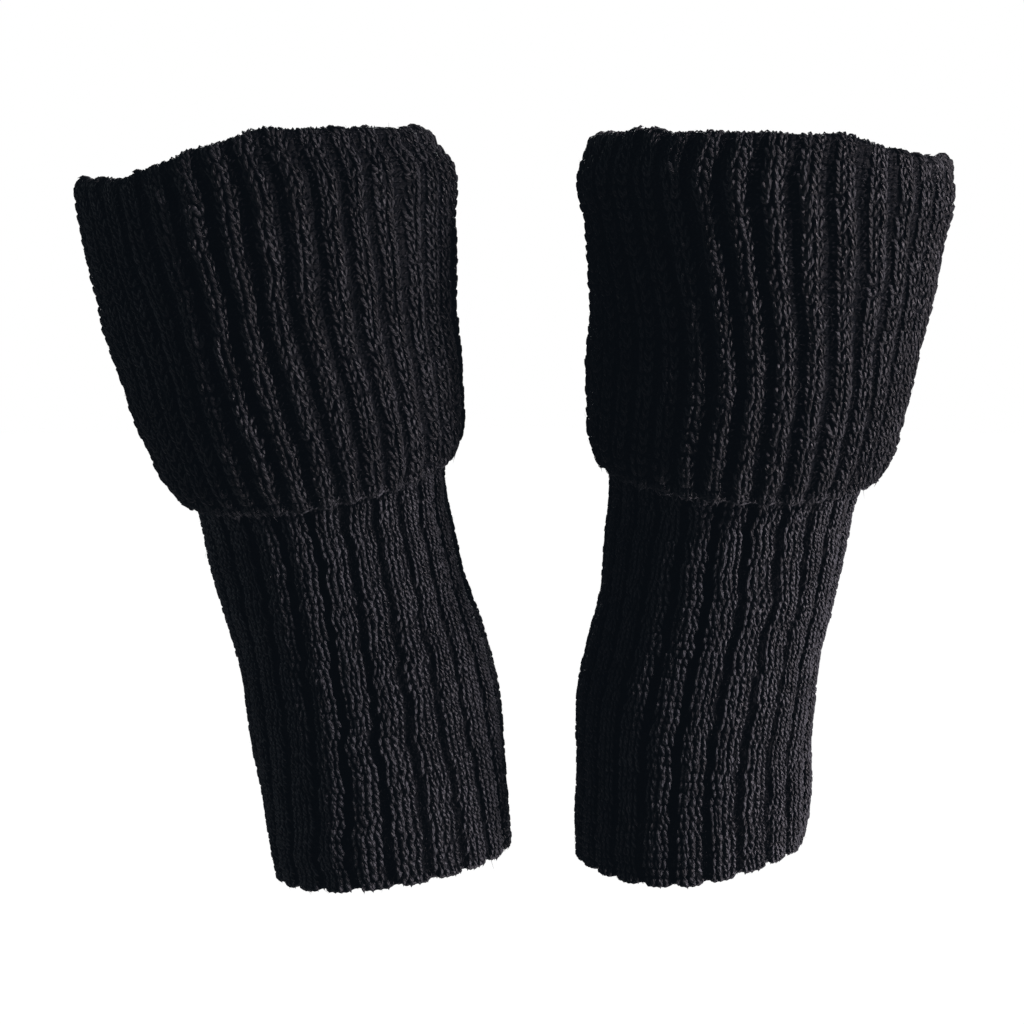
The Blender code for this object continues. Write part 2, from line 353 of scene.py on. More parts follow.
CUFF_CREASES = {"left": (
    (0.9, 44, -62, 10, 26, 0.1),
    (0.8, 72, 58, 12, 24, -0.12),
    (-0.6, 60, 12, 14, 24),
    (0.9, 58, 170, 11, 34, 0.08),
    (0.7, 90, 235, 10, 26, -0.08),
), "right": (
    (0.9, 48, 64, 10, 26, -0.12),
    (0.8, 76, -48, 12, 26, 0.12),
    (-0.6, 64, 8, 14, 24),
    (0.9, 52, 200, 11, 32, -0.06),
    (0.7, 88, 140, 10, 28, 0.1),
)}


SWAY_RADIUS = 50  # mm from the leg's middle, where a sway has the size that it states


def rib_height(rib, even):
    """0 in a furrow and 1 on a crown's middle: 3t^2 - 2t^3, where t is how far the point is from a rib's
    foot to its crown, times 1 - dome (off / foot)^2."""
    share = even * rib.count / TURN
    off = np.abs(share - np.round(share))
    t = np.clip((rib.foot - off) / (rib.foot - rib.crown), 0, 1)
    return t * t * (3 - 2 * t) * (1 - rib.dome * (off / rib.foot) ** 2)


def bells(rows, down, even):
    """The sum of some bells: each is its size times a bell curve in height and one in angle."""
    pushed = 0.0
    for bell in (Bell(*row) for row in rows):
        off = (np.degrees(even) - bell.at + 180) % 360 - 180
        rise = (down - bell.down + bell.climb * off) / bell.along
        pushed = pushed + bell.size * np.exp(-(rise**2) - (off / bell.around) ** 2)
    return pushed


def swayed(rows, kinks, down, even):
    """The even angle that the ribs have swayed to.  They move by the kinks and by sines that wind round the
    leg, size sin(2 pi down / length + turns even + phase), in millimetres at SWAY_RADIUS."""
    moved = bells(kinks, down, even)
    for sway in (Sway(*row) for row in rows):
        moved = moved + sway.size * np.sin(TURN * down / sway.length + sway.turns * even + sway.phase)
    return even + moved / SWAY_RADIUS


half_rib = np.linspace(0, math.pi / LEG_RIB.count, 5)
print("from a leg rib's crown to the furrow:", rib_height(LEG_RIB, half_rib).round(2).tolist())

# %% [markdown]
# ## The faces of the cloth
#
# A warmer has two cloths.  The leg is a plain run from its join, hidden under the fold, to the hem.  The
# cuff's outer face goes further: it starts inside the leg, climbs to the crest of the fold, comes over it
# and runs down outside.  `run` measures along that way in millimetres, 0 on the crest, so a round of
# stitches keeps its height over the bend.  `depth` is how far in from the outermost points.

# %% Where each face lies
FOLD_QUARTER = math.pi / 4 * (FOLD_HALF_WIDTH + FOLD_HEIGHT) * 1.01  # from crest to side, along the bend
SCALLOP = 0.45  # mm that an edge hangs lower on a rib, and higher in a furrow
SCALLOP_FADE = 8  # mm above the edge, where that begins
RIBS_OPEN = 17  # mm along which the cuff's ribs rise to their whole height
CREASES_OPEN = 10  # mm below the bend, where the creases are whole on the hidden side


def cuff_end(warmer):
    """The cuff's edge as a run: a quarter of the bend, and straight down from there."""
    return FOLD_QUARTER + warmer.cuff[-1].down - FOLD_HEIGHT


def scalloped(run, end, rib, even):
    """Heights near an edge, pushed down by SCALLOP on a rib and up by it in a furrow.  The push fades
    upwards as the square of the height left of SCALLOP_FADE."""
    near = np.clip((run - end + SCALLOP_FADE) / SCALLOP_FADE, 0, 1) ** 2
    return run + near * SCALLOP * (2 * rib_height(rib, even) - 1)


def leg_rows(warmer):
    """The leg's sections: those under the cuff follow the cuff from inside, and then come its own."""
    hidden = [RETURN_DEPTH + SEAM_GAP] + [row.down for row in warmer.cuff[2:-2:2]]
    turn = warmer.leg[0].turn
    widths = read(warmer.cuff, "across", np.array(hidden)) - 2 * LEG_INSET
    return [Section(down, width, turn, 0.0) for down, width in zip(hidden, widths)] + list(warmer.leg)


def leg_face(warmer, run, even, depth):
    """The leg's outer face, `depth` mm in from the crowns of its ribs."""
    run = scalloped(run, warmer.leg[-1].down, LEG_RIB, even)
    furrow = LEG_RIB_RISE * (1 - rib_height(LEG_RIB, even))
    inset = depth + furrow + bells(LEG_CREASES[warmer.side], run, even)
    turned = swayed(LEG_SWAY, LEG_KINKS[warmer.side], run, even)
    return on_leg(warmer, leg_rows(warmer), run, turned, inset)


def leg_back(warmer, run, even, depth):
    """The leg's inner face, `depth` mm into the cloth from it.  Its own low ribs stand where the outer face
    has furrows.  The angle runs the other way, so that across and up still give a way out of the cloth."""
    even = -even
    run = scalloped(run, warmer.leg[-1].down, LEG_RIB, even)
    ridge = LINING_RIB_RISE * (1 - rib_height(LEG_RIB, even))
    inset = LEG_WALL - depth - LINING_RIB_RISE + ridge + bells(LEG_CREASES[warmer.side], run, even)
    turned = swayed(LEG_SWAY, LEG_KINKS[warmer.side], run, even)
    return on_leg(warmer, leg_rows(warmer), run, turned, inset)


def uneven_rim(warmer, even):
    """How far the crest lies above the CAD's even one.  It is mostly below 0, for cloth sags."""
    return 0.4 * np.sin(11 * even + warmer.seed) + 0.35 * np.sin(17 * even + 2 * warmer.seed) - 0.7


def cuff_face(warmer, run, even, depth):
    """The cuff's outer face.  The bend is half an ellipse: with t = run / FOLD_QUARTER quarter turns from
    the crest, its points lie sin(t) of the fold's half width out and cos(t) of its height up.  The ribs
    rise over the bend, and on the way in the furrows stand out a tenth as high instead."""
    run = scalloped(run, cuff_end(warmer), CUFF_RIB, even)
    t = np.clip(run / FOLD_QUARTER, -1, 1) * math.pi / 2
    down = FOLD_HEIGHT + np.maximum(np.abs(run) - FOLD_QUARTER, 0)
    share = np.clip(run / RIBS_OPEN - 0.1, -0.1, 1)
    furrow = CUFF_RIB_RISE * share * (1 - rib_height(CUFF_RIB, even))
    outside = np.clip(run / FOLD_QUARTER, 0, 1)
    dip = outside * bells(CUFF_CREASES[warmer.side], down, even)
    inset = FOLD_HALF_WIDTH - (FOLD_HALF_WIDTH - furrow - depth) * np.sin(t) + dip
    up = (FOLD_HEIGHT - furrow - depth + uneven_rim(warmer, even)) * np.cos(t)
    turned = swayed(CUFF_SWAY, CUFF_KINKS[warmer.side], run, even)
    return on_leg(warmer, warmer.cuff, down, turned, inset, up)


def cuff_back(warmer, down, even, inset, up=0.0):
    """The hidden side of the turned cuff, which lies against the leg."""
    opened = np.clip((down - FOLD_HEIGHT) / CREASES_OPEN, 0, 1)
    dip = bells(CUFF_CREASES[warmer.side], down, even) * opened
    run = FOLD_QUARTER + down - FOLD_HEIGHT
    turned = swayed(CUFF_SWAY, CUFF_KINKS[warmer.side], run, even)
    return on_leg(warmer, warmer.cuff, down, turned, inset + dip, up)


print("the left cuff shows", round(cuff_end(WARMERS[0]), 1), "mm of cloth from the crest to its edge")

# %% [markdown]
# ## From arrays to a mesh
#
# Blender can take a whole mesh at once: all points, then all corners, in two calls.  The same helper gives
# a piece its UV map, so that a knitted pattern can follow the cloth, and one number for each point, its
# tone.  The tone varies at random, because no two lengths of yarn take the dye alike, and each piece's
# range of tones also carries painted light and shade: the leg's Vs lighter than the cuff's, the leg's
# arches in the furrows darker, the rope along the cuff's edge lighter.

# %% Make a piece from arrays
def make_piece(name, points, corners, uv, tone, material):
    """A piece from points (n, 3), corners (faces, sides) and a UV for each corner, on the one body."""
    mesh = bpy.data.meshes.new(name)
    mesh.vertices.add(len(points))
    mesh.vertices.foreach_set("co", points.astype(np.float32).ravel())
    mesh.loops.add(corners.size)
    mesh.loops.foreach_set("vertex_index", corners.astype(np.int32).ravel())
    mesh.polygons.add(len(corners))
    mesh.polygons.foreach_set("loop_start", np.arange(0, corners.size, corners.shape[1], dtype=np.int32))
    mesh.update(calc_edges=True)
    mesh.shade_smooth()
    mesh.uv_layers.new(name="knit").uv.foreach_set("vector", uv.astype(np.float32).ravel())
    mesh.attributes.new("tone", "FLOAT", "POINT").data.foreach_set("value", tone.astype(np.float32))
    mesh.materials.append(material)
    piece = bpy.data.objects.new(name, mesh)
    bpy.context.collection.objects.link(piece)
    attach(piece, "root")
    print(f"{name}: {len(points)} points, {len(corners) * (corners.shape[1] - 2)} triangles")
    return piece


def ring_grid(rows, columns):
    """Corners of a grid that closes on itself both ways, and each corner's row and column counted on past
    the seam, so that a UV map doesn't run backwards in the last strip."""
    row, column = np.meshgrid(np.arange(rows), np.arange(columns), indexing="ij")
    down = np.stack([row, row + 1, row + 1, row], axis=-1).reshape(-1, 4)
    round_ = np.stack([column, column, column + 1, column + 1], axis=-1).reshape(-1, 4)
    return (down % rows) * columns + round_ % columns, down, round_


# %% [markdown]
# ## Materials as formulas
#
# A material is a small graph of nodes, which is clumsy to write and hard to read.  A few helpers turn it
# into formulas: a node with its inputs, a sum or a sine of two values, a blend of two colours, noise that
# stays on the piece, the piece's own UV map, and a bump.

# %% Node helpers
def new_material(name):
    """A material, its node tree and its shader."""
    material = bpy.data.materials.new(name)
    material.use_nodes = True
    return material, material.node_tree, material.node_tree.nodes["Principled BSDF"]


def add_node(tree, kind, settings, **inputs):
    """A node with its settings; an input is a value, or a socket that is linked to it."""
    node = tree.nodes.new(kind)
    for key, value in settings.items():
        setattr(node, key, value)
    for key, value in inputs.items():
        socket = node.inputs[int(key[1:]) if key[1:].isdigit() else key.replace("_", " ")]
        if isinstance(value, bpy.types.NodeSocket):
            tree.links.new(value, socket)
        else:
            socket.default_value = value
    return node


def maths(tree, operation, first, second=0.0):
    """One step of a formula: an operation on two values or sockets."""
    return add_node(tree, "ShaderNodeMath", {"operation": operation}, i0=first, i1=second).outputs[0]


def blend(tree, share, first, second):
    """A colour between two, by a share from 0 to 1.  A Mix node keeps its colours in inputs 6 and 7."""
    node = add_node(tree, "ShaderNodeMix", {"data_type": "RGBA"}, Factor=share, i6=first, i7=second)
    return node.outputs[2]


def noise(tree, scale, **settings):
    """Noise from 0 to 1 on Object coordinates, so that it stays where it is on the cloth."""
    place = add_node(tree, "ShaderNodeTexCoord", {}).outputs["Object"]
    return add_node(tree, "ShaderNodeTexNoise", {}, Vector=place, Scale=scale, **settings).outputs["Fac"]


def own_uv(tree):
    """The X and Y of the piece's own UV map."""
    uv = add_node(tree, "ShaderNodeUVMap", {}).outputs["UV"]
    return add_node(tree, "ShaderNodeSeparateXYZ", {}, Vector=uv).outputs


def bumped(tree, shader, height, strength, distance):
    """Lets the shader catch light as if its surface rose by height times distance, in metres."""
    bump = add_node(tree, "ShaderNodeBump", {}, Height=height, Strength=strength, Distance=distance)
    tree.links.new(bump.outputs["Normal"], shader.inputs["Normal"])


# %% [markdown]
# ## Yarn and cloth
#
# The yarn is near black, a charcoal with a breath of blue, and matt: a fibre surface scatters light and
# shines a little only where it grazes.  So the base colour is very dark, the gloss is weak and wide, and a
# little sheen stands for the fuzz.  Two or three plies twist round each other along every loop; they are a
# bump that winds along the loop's own UV map.  The cloth between the loops gets the same colour, painted
# darker as shade in the gaps and furrows, with the rounds of stitches as its bump.  The arches in the
# furrows get a darker yarn colour as painted shade, and less gloss.

# %% The yarn and the cloth under it
YARN_DARK = (0.0025, 0.0029, 0.0038, 1.0)
YARN_LIGHT = (0.0870, 0.0930, 0.1050, 1.0)
# Painted shade: the light end for the arches in the furrows, darker than the yarn's on the ribs, for the
# shade there.
SHADED_FURROW_LIGHT = (0.0500, 0.0550, 0.0640, 1.0)
# Painted shade: the shell shows only in the furrows and between the loops, so it is painted darker than the
# yarn, for the shade there.
SHADED_CLOTH_DARK = (0.0010, 0.0014, 0.0020, 1.0)
SHADED_CLOTH_LIGHT = (0.0120, 0.0135, 0.0165, 1.0)
PLY_LENGTH = 2.3  # mm of yarn for one ply to pass


def matt_fibre(shader, gloss, sheen):
    """Settings that are the same all over: rough, weakly glossy, with a short nap."""
    shader.inputs["Roughness"].default_value = 0.5
    shader.inputs["Specular IOR Level"].default_value = gloss
    shader.inputs["Sheen Weight"].default_value = sheen
    shader.inputs["Sheen Roughness"].default_value = 0.45
    shader.inputs["Sheen Tint"].default_value = (0.72, 0.78, 0.84, 1.0)


def toned(tree, shader, dark, light, spots):
    """Colour between dark and light: the share is the yarn's tone times 2.6 (noise - 0.5) + 0.5, so that
    fibres come and go along each loop."""
    tone = add_node(tree, "ShaderNodeAttribute", {"attribute_name": "tone"}).outputs["Fac"]
    spotted = noise(tree, spots, Detail=3.0, Roughness=0.6)
    fibres = maths(tree, "ADD", maths(tree, "MULTIPLY", spotted, 2.6), -0.8)
    colour = blend(tree, maths(tree, "MULTIPLY", fibres, tone), dark, light)
    tree.links.new(colour, shader.inputs["Base Color"])


def yarn_material(name, dark, light, gloss, sheen):
    """Bump = sin(2 pi (u / PLY_LENGTH + 0.8 v)), the plies, plus fine noise, the fuzz."""
    material, tree, shader = new_material(name)
    matt_fibre(shader, gloss, sheen)
    toned(tree, shader, dark, light, 1500.0)
    uv = own_uv(tree)
    along = maths(tree, "DIVIDE", uv["X"], PLY_LENGTH)
    turns = maths(tree, "ADD", along, maths(tree, "MULTIPLY", uv["Y"], 0.8))
    plies = maths(tree, "SINE", maths(tree, "MULTIPLY", turns, TURN))
    height = maths(tree, "ADD", plies, noise(tree, 2600.0, Detail=2.0))
    bumped(tree, shader, height, 1.0, 0.3 * MM)
    return material


def shaded_cloth_material():
    """Bump = c |sin(pi (v + 0.4 c))| with c = |sin(pi u)|, u in columns and v in rounds of stitches, plus
    noise."""
    material, tree, shader = new_material("charcoal_cloth_painted_shade")
    matt_fibre(shader, 0.06, 0.0)
    # Painted shade: the cloth takes the dark shell colours, darker than the yarn, for the shade between
    # loops.
    toned(tree, shader, SHADED_CLOTH_DARK, SHADED_CLOTH_LIGHT, 420.0)
    uv = own_uv(tree)
    column = maths(tree, "ABSOLUTE", maths(tree, "SINE", maths(tree, "MULTIPLY", uv["X"], math.pi)))
    lean = maths(tree, "ADD", uv["Y"], maths(tree, "MULTIPLY", column, 0.4))
    row = maths(tree, "ABSOLUTE", maths(tree, "SINE", maths(tree, "MULTIPLY", lean, math.pi)))
    fuzz = maths(tree, "MULTIPLY", noise(tree, 1800.0, Detail=2.0), 0.5)
    height = maths(tree, "ADD", maths(tree, "MULTIPLY", column, row), fuzz)
    bumped(tree, shader, height, 0.8, 0.6 * MM)
    return material


YARN = yarn_material("charcoal_yarn", YARN_DARK, YARN_LIGHT, 0.4, 0.05)
# Painted shade: the arches in the furrows get a darker yarn, with less gloss, for the shade there.
SHADED_FURROW_YARN = yarn_material("charcoal_yarn_painted_furrow_shade", YARN_DARK, SHADED_FURROW_LIGHT, 0.18, 0.0)
SHADED_KNIT_CLOTH = shaded_cloth_material()
print("materials:", YARN.name, SHADED_FURROW_YARN.name, SHADED_KNIT_CLOTH.name)

# %% [markdown]
# ## The cloth
#
# Each cloth is a shell: outer face, edge, inner face, and back to the start.  Cut across, it is one closed
# line, and round the leg it closes again, so the whole shell is a grid that wraps both ways, like the skin
# of a ring.  No solidify step is needed, and its wall can be thin in a furrow and thick on a rib.  The
# shell lies a little below the outermost points, because the loops of yarn come on top.

# %% The shell of a leg
YARN_DEPTH = 0.8  # mm from the loops' outermost points in to the shell
WALES = 144  # columns of stitches round a warmer
LEG_ROUND = 2.95  # mm from one round of stitches to the next
CUFF_ROUND = 3.75
LEG_POINTS = 8  # how many points of the shell go to a rib and its furrow
CUFF_POINTS = 6
HEM_BULGE = 0.4  # mm that the middle of the hem's thickness hangs below its faces
CUFF_BULGE = 0.5


def row_of(values, count):
    """Heights down a grid of `count` columns, the same all along each row."""
    return np.broadcast_to(np.asarray(values, float)[:, None], (len(values), count))


def shell(name, rings, round_height):
    """One closed piece from its rings (rows, columns, 3); u counts columns of stitches, v rounds."""
    rows, columns = rings.shape[:2]
    corners, down, round_ = ring_grid(rows, columns)
    steps = np.diff(rings[:, 0], axis=0, append=rings[:1, 0])
    walked = np.append(0.0, np.cumsum(np.linalg.norm(steps, axis=1)))
    uv = np.stack([round_ * WALES / columns, walked[down] / (round_height * MM)], axis=-1)
    tone = np.full(rows * columns, 0.5)
    return make_piece(name, rings.reshape(-1, 3), corners, uv, tone, SHADED_KNIT_CLOTH)


def leg_cloth(warmer):
    """The rows are few under the cuff and on the inside, and close together where the leg shows."""
    count = LEG_RIB.count * LEG_POINTS
    even = np.arange(count)[None, :] * TURN / count
    top = RETURN_DEPTH + SEAM_GAP
    hem = warmer.leg[-1].down
    show = warmer.cuff[-1].down - 14
    outer = row_of(np.concatenate([np.linspace(top, show, 9)[:-1], np.linspace(show, hem, 54)]), count)
    lowest = row_of([hem + HEM_BULGE], count)
    inner = row_of(np.linspace(hem, top, 26), count)
    rings = [
        leg_face(warmer, outer, even, YARN_DEPTH),
        leg_face(warmer, lowest, even, YARN_DEPTH + 0.8),
        leg_back(warmer, lowest, -even, YARN_DEPTH + 0.5),
        leg_back(warmer, inner, -even, YARN_DEPTH),
    ]
    return shell(f"{warmer.side}_leg_cloth", np.concatenate(rings), LEG_ROUND)


# %% [markdown]
# ## The turned cuff
#
# On the real warmer the cuff is the tube's own top, folded outwards once.  A cut through it shows one long
# loop: up inside the leg, over the crest and down to the edge, back up its hidden side, under the bend and
# down to the join.  Each stretch of that loop is a few rows of the same grid, so the fold has a real
# thickness and a real hollow under it.

# %% The shell of a turned cuff
RETURN_RUN = FOLD_QUARTER + RETURN_DEPTH - FOLD_HEIGHT  # from the crest to the join inside


def cuff_cloth(warmer):
    """The bend's underside is half an ellipse, at the angle t from its top: sin(t) of its half width out
    and cos(t) of twice that up."""
    count = CUFF_RIB.count * CUFF_POINTS
    even = np.arange(count)[None, :] * TURN / count
    edge = warmer.cuff[-1].down
    end = cuff_end(warmer)
    outer = row_of(np.concatenate([np.linspace(-RETURN_RUN, -FOLD_QUARTER, 5)[:-1],
                                   np.linspace(-FOLD_QUARTER, FOLD_QUARTER, 11)[:-1],
                                   np.linspace(FOLD_QUARTER, end, 40)]), count)
    lowest = row_of([end + CUFF_BULGE], count)
    back = row_of(np.linspace(edge - 0.3, FOLD_HEIGHT, 12), count)
    t = np.radians(row_of([60, 30, 0, -30, -60, -90], count))
    under = FOLD_HALF_WIDTH - CUFF_WALL
    hidden = row_of([FOLD_HEIGHT + 3, RETURN_DEPTH - 1, RETURN_DEPTH], count)
    bottom = row_of([RETURN_DEPTH], count)
    rings = [
        cuff_face(warmer, outer, even, YARN_DEPTH),
        cuff_face(warmer, lowest, even, YARN_DEPTH + 0.9),
        cuff_back(warmer, back, even, CUFF_WALL),
        cuff_back(warmer, FOLD_HEIGHT, even, FOLD_HALF_WIDTH - under * np.sin(t), 2 * under * np.cos(t)),
        cuff_back(warmer, hidden, even, LEG_INSET),
        cuff_back(warmer, bottom, even, LEG_INSET + 1.5),
    ]
    return shell(f"{warmer.side}_cuff_cloth", np.concatenate(rings), CUFF_ROUND)


for warmer in WARMERS:
    leg_cloth(warmer)
    cuff_cloth(warmer)
    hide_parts(f"{warmer.side}_leg_tube")
    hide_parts(f"{warmer.side}_turned_cuff")

# %% [markdown]
# ## One loop of yarn
#
# Seen from its knit side a stitch is a V: two lengths of yarn that rise from one point and lean apart.
# Seen from its purl side it is a low arch across the column.  Each of these lengths is made as a spindle:
# a tip, one to three rings of three points and a tip, which is six triangles for each ring.  That is
# little enough to repeat it nearly eighty thousand times, and smooth shading makes it round.  The arms
# of a V are steep and long: each reaches past the next round, so together they read as lines of yarn down
# the rib.  A loop is drawn once, in millimetres across, up and out of the cloth, for a stitch 3 mm wide.

# %% Spindles, the V and the arch
Loop = namedtuple("Loop", "points corners uv")
STITCH_WIDTH = 3.0


def spindle(path, half_width, half_height, roll=0.0):
    """A tip, at each inner point of the path a ring of left, top and right, and a tip.  The rings are
    rolled about the path so that their right side goes down."""
    path = np.array(path, float)
    way = path[-1, :2] - path[0, :2]
    way /= np.linalg.norm(way)
    side = np.array([way[1] * math.cos(roll), -way[0] * math.cos(roll), -math.sin(roll)])
    top = np.array([way[1] * math.sin(roll), -way[0] * math.sin(roll), math.cos(roll)])
    ring = np.array([-side * half_width, top * half_height, side * half_width])
    points = np.concatenate([path[:1], (path[1:-1, None] + ring).reshape(-1, 3), path[-1:]])
    end = len(points) - 1
    corners = [(0, 2, 1), (0, 3, 2), (0, 1, 3)]
    corners += [(end, end - 3, end - 2), (end, end - 2, end - 1), (end, end - 1, end - 3)]
    for a in range(1, end - 3, 3):
        corners += [(a, a + 1, a + 4), (a, a + 4, a + 3), (a + 1, a + 2, a + 5), (a + 1, a + 5, a + 4),
                    (a + 2, a, a + 3), (a + 2, a + 3, a + 5)]
    walked = np.append(0, np.cumsum(np.linalg.norm(np.diff(path, axis=0), axis=1)))
    along = np.concatenate([walked[:1], np.repeat(walked[1:-1], 3), walked[-1:]])
    across = np.concatenate([[0], np.tile([-1, 0, 1], len(path) - 2), [0]])
    return Loop(points, np.array(corners), np.stack([along, across], axis=-1))


def flipped(loop, x, y):
    """A loop mirrored sideways (x = -1) or up and down (y = -1).  That turns its faces inside out, so its
    corners are read backwards."""
    return Loop(loop.points * (x, y, 1), loop.corners[:, ::-1], loop.uv * (1, -1))


def v_stitch(arm):
    """An arm and its mirror image as one loop."""
    other = flipped(arm, -1, 1)
    points = np.concatenate([arm.points, other.points])
    corners = np.concatenate([arm.corners, other.corners + len(arm.points)])
    return Loop(points, corners, np.concatenate([arm.uv, other.uv]))


# The tube is worked from the top down, so the leg's Vs stand on their heads and the turned cuff's don't.
LEG_V = flipped(v_stitch(spindle(
    ((0.8, -2.4, -0.3), (1.0, -0.9, 0.25), (1.3, 0.8, 0.25), (1.45, 2.4, -0.35)), 0.68, 0.75, 0.3)), 1, -1)
CUFF_V = v_stitch(spindle(
    ((0.0, -2.9, -0.35), (0.3, -1.5, 0.2), (0.65, 0.1, 0.35), (0.85, 1.6, 0.2), (0.85, 2.9, -0.45)),
    0.58, 0.7, 0.3))
PLAIN_V = v_stitch(spindle(((0.1, -2.2, -0.4), (0.65, 0.0, 0.1), (1.1, 2.2, -0.4)), 0.6, 0.6))
ARCH = spindle(((-1.6, -0.7, -0.3), (0.0, 0.1, 0.2), (1.6, 0.5, -0.3)), 0.4, 0.6)
FIBRE = spindle(((-1.3, 0.0, -0.3), (0.0, 0.2, 0.2), (1.3, -0.1, -0.2)), 0.05, 0.05)
TUFT = spindle(((-1.1, 0.0, -0.5), (0.0, 0.1, 0.2), (1.1, 0.0, -0.4)), 0.2, 0.2)
for kind, loop in (("leg V", LEG_V), ("cuff V", CUFF_V), ("purl arch", ARCH)):
    print("a", kind, "has", len(loop.corners), "triangles")

# %% [markdown]
# ## Laying the loops
#
# A loop is laid by its own little frame of three directions: across the column, up it, and out of the
# cloth.  The first two are differences of the face over a small step, the third is their cross product.
# Where the face bends, as over the fold, the loop's ends drop back with it, or they would stick out.  One
# call lays every loop of a piece: loops times points times three numbers.  Real stitches are never quite
# alike, so each is nudged, tilted and sized by a seeded random draw, and a column of them wanders and pales
# over several rounds, because one length of yarn makes its neighbours alike.

# %% Lay a loop at every stitch
Spread = namedtuple("Spread", "shift tilt size lift wander drift")
HAND = Spread(shift=0.16, tilt=0.14, size=0.14, lift=0.15, wander=0.17, drift=0.6)
PURL_HAND = Spread(shift=0.30, tilt=0.30, size=0.20, lift=0.20, wander=0.0, drift=0.0)
FUZZ_HAND = Spread(shift=0.0, tilt=1.2, size=0.30, lift=0.25, wander=0.0, drift=0.0)
ROUNDS_ALIKE = 4
DRIFT_FADE = 12  # mm above the last round, where the drift starts to fade, so that the edge stays even
LOOP_REACH = 2.5  # mm up and down from a loop's middle
STEP = 0.5  # mm up and down, to see which way the face runs
SWING = 0.4 / 60  # radians round, for the same: 0.4 mm at 60 mm from the leg's middle


def stitch_frames(face, run, even, depth):
    """Middles; across, up and out as unit vectors; the face's width for one radian; and how far it bends
    back from the middle within a loop's reach."""
    across = face(run, even + SWING, depth) - face(run, even - SWING, depth)
    up = face(run - STEP, even, depth) - face(run + STEP, even, depth)
    out = np.cross(across, up)
    width = np.linalg.norm(across, axis=-1, keepdims=True)
    across = across / width
    out = out / np.linalg.norm(out, axis=-1, keepdims=True)
    middle = face(run, even, depth)
    ends = (face(run - LOOP_REACH, even, depth) + face(run + LOOP_REACH, even, depth)) / 2
    bend = ((middle - ends) * out).sum(axis=-1, keepdims=True)
    return middle, np.stack([across, np.cross(out, across), out], axis=1), width / (2 * SWING), bend


def wandering(rng, shape):
    """Draws that change slowly down a column: the sum of ROUNDS_ALIKE draws over its square root."""
    total = np.cumsum(rng.normal(size=(shape[0] + ROUNDS_ALIKE, shape[1])), axis=0)
    return ((total[ROUNDS_ALIKE:] - total[:-ROUNDS_ALIKE]) / math.sqrt(ROUNDS_ALIKE)).ravel().clip(-2, 2)


def lay(name, face, run, even, pitch, loop, material, slot, seed,
        depth=YARN_DEPTH, spread=HAND, tones=(0.0, 1.5)):
    """A piece of one loop at each (run, even).  x grows by pitch, the angle that a column takes up, times
    the face's width for a radian over STITCH_WIDTH.  Tilted, x becomes x - tilt y and y becomes y + tilt x.
    z loses bend (y / LOOP_REACH)^2.  A tone lies between the two given, by half plus the loop's draws."""
    rng = np.random.default_rng(seed)
    shape = np.broadcast(run, even).shape
    run, even, depth = (np.broadcast_to(given, shape).ravel() for given in (run, even, depth))
    count = len(run)
    draw = rng.normal(size=(count, 7)).clip(-2, 2)
    aside, paled, later = wandering(rng, shape), wandering(rng, shape), wandering(rng, shape)
    middle, axes, radius, bend = stitch_frames(face, run, even, depth)
    wide = pitch * radius[:, 0] / (STITCH_WIDTH * MM)
    size = 1 + spread.size * draw[:, :2]
    points = loop.points[None] * np.stack([wide * size[:, 0], size[:, 1], np.ones(count)], axis=-1)[:, None]
    tilt = spread.tilt * draw[:, 2, None]
    free = np.clip((run.max() - run) / DRIFT_FADE, 0, 1)
    moved = spread.shift * draw[:, 3] + spread.wander * aside
    lowered = spread.shift * draw[:, 4] + spread.drift * free * later
    x = points[..., 0] - tilt * points[..., 1] + moved[:, None]
    y = points[..., 1] + tilt * points[..., 0] + lowered[:, None]
    z = points[..., 2] + spread.lift * draw[:, 5, None] - bend / MM * (points[..., 1] / LOOP_REACH) ** 2
    local = np.stack([x, y, z], axis=-1) * MM
    world = middle[:, None] + np.einsum("nki,nij->nkj", local, axes)
    corners = (loop.corners[None] + len(loop.points) * np.arange(count)[:, None, None]).reshape(-1, 3)
    uv = np.broadcast_to(loop.uv[loop.corners].reshape(1, -1, 2), (count, loop.corners.size, 2))
    uv = uv + rng.uniform(0, 1, (count, 1, 2)) * (1, 0)
    share = (0.5 + 0.2 * paled + 0.22 * draw[:, 6]).clip(0, 1)
    tone = np.repeat(tones[0] + (tones[1] - tones[0]) * share, len(loop.points))
    return make_piece(name, world.reshape(-1, 3), corners, uv, tone, material)


Columns = namedtuple("Columns", "offsets width")


def columns(rib, kind):
    """The even angles of all columns of a kind, each rib's middle plus the kind's offsets, and the angle
    that one column takes up.  Offsets and width are shares of the ribs' pitch."""
    even = (np.arange(rib.count)[:, None] + np.array(kind.offsets)) * TURN / rib.count
    return even.ravel()[None, :], kind.width * (TURN / rib.count)


# %% [markdown]
# ## The stitches that show
#
# On the leg three columns of V stitches stand on each rib and three narrow columns of arches lie in each
# furrow.  On the cuff it is two and two.  The cuff is the tube's other face turned out, so its stitches
# follow it over the fold and down inside.  On the crest they sink a little, which keeps its line calm.

